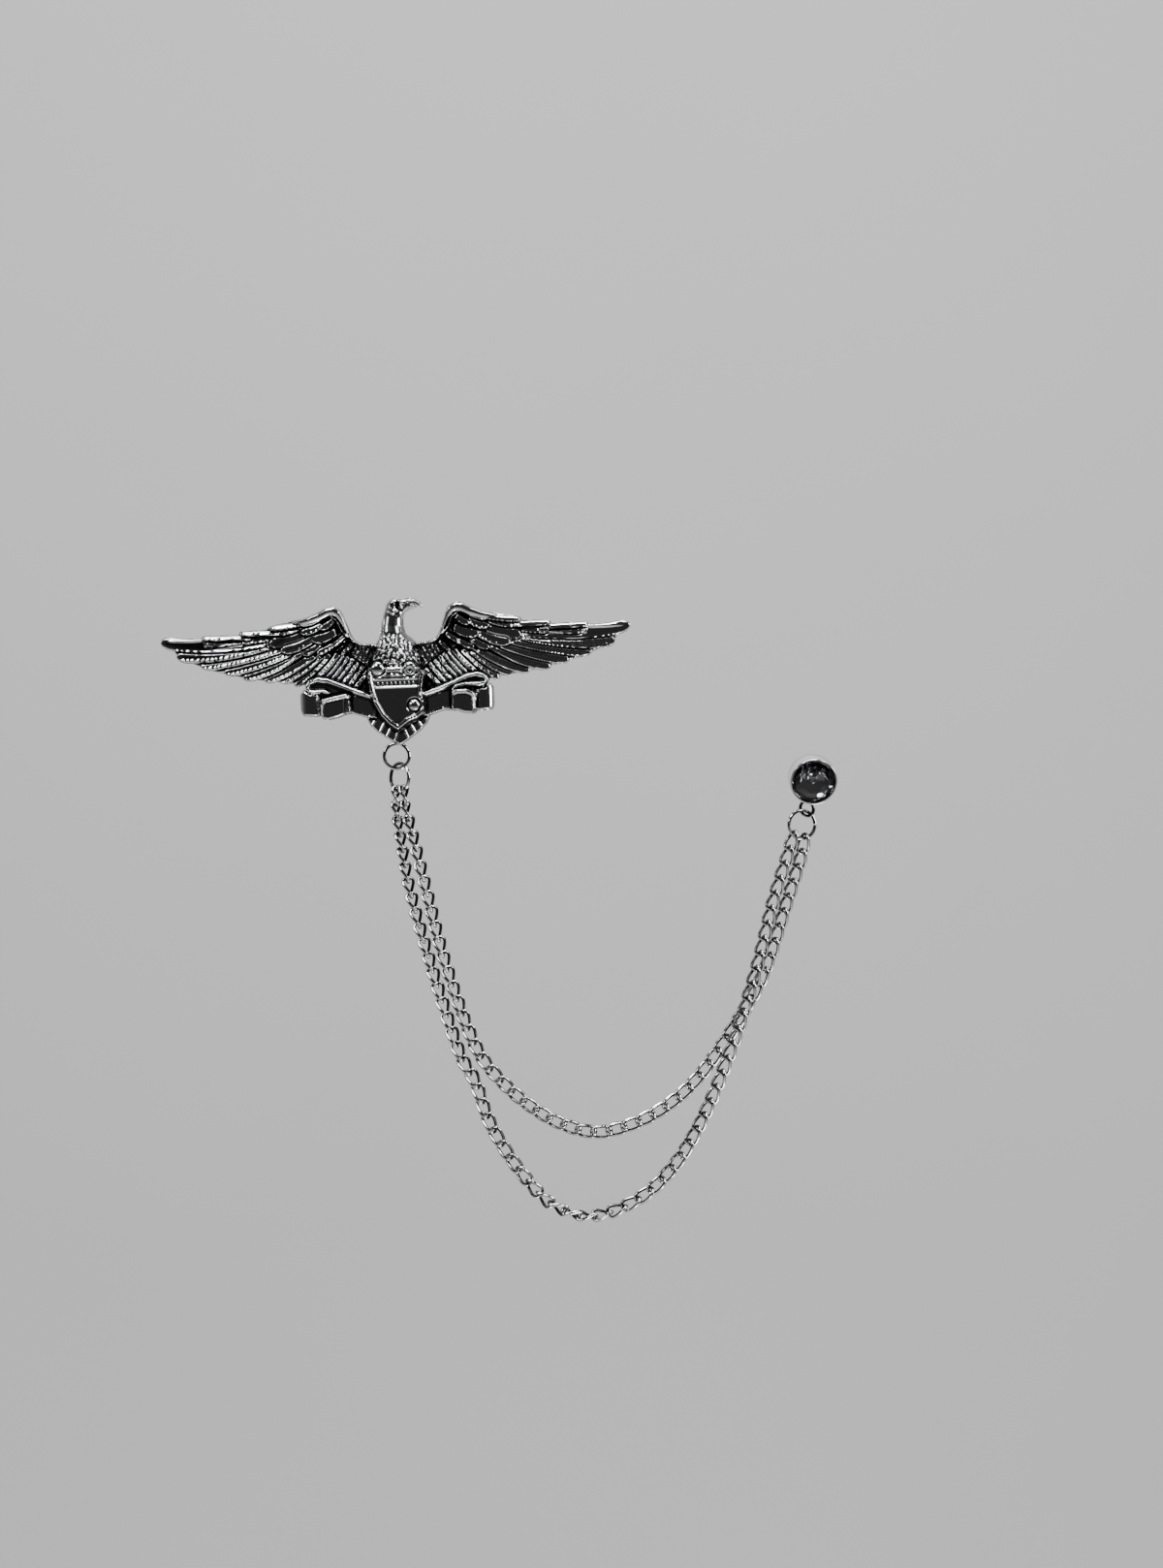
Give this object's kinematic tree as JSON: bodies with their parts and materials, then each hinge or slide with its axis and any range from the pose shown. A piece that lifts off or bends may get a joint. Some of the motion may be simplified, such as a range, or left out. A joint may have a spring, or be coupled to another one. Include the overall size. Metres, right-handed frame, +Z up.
{
  "type": "eagle lapel pin with chain and stud",
  "caption": "Cast eagle lapel pin with shield and ribbon, joined by a double strand of curb chain to a round stud with a cut stone; both ends pin through cloth.",
  "frame": {"origin": "the point where the eagle pins on: on its flat back, behind the cross bar of the shield", "axes": "+Z up, +X to the viewer's right along the wings, the front faces -Y and the posts point to +Y"},
  "size_m": [0.096, 0.0138, 0.0886],
  "materials": {
    "eagle_metal": "silver plated zinc casting, polished high spots, dark wash in the recesses",
    "post_metal": "bright drawn steel",
    "ring_metal": "silver plated wire",
    "chain_metal": "silver plated curb chain",
    "cup_metal": "bright plated cup with a thin rim",
    "cut_stone": "faceted smoky crystal over foil"
  },
  "bodies": {
    "root": {"eagle": "eagle_metal", "eagle_post_left": "post_metal", "eagle_post_right": "post_metal", "jump_ring_eagle": "ring_metal", "chain_short": "chain_metal", "chain_long": "chain_metal", "jump_ring_stud": "ring_metal", "stud_cup": "cup_metal", "stud_stone": "cut_stone"}
  },
  "joints": []
}
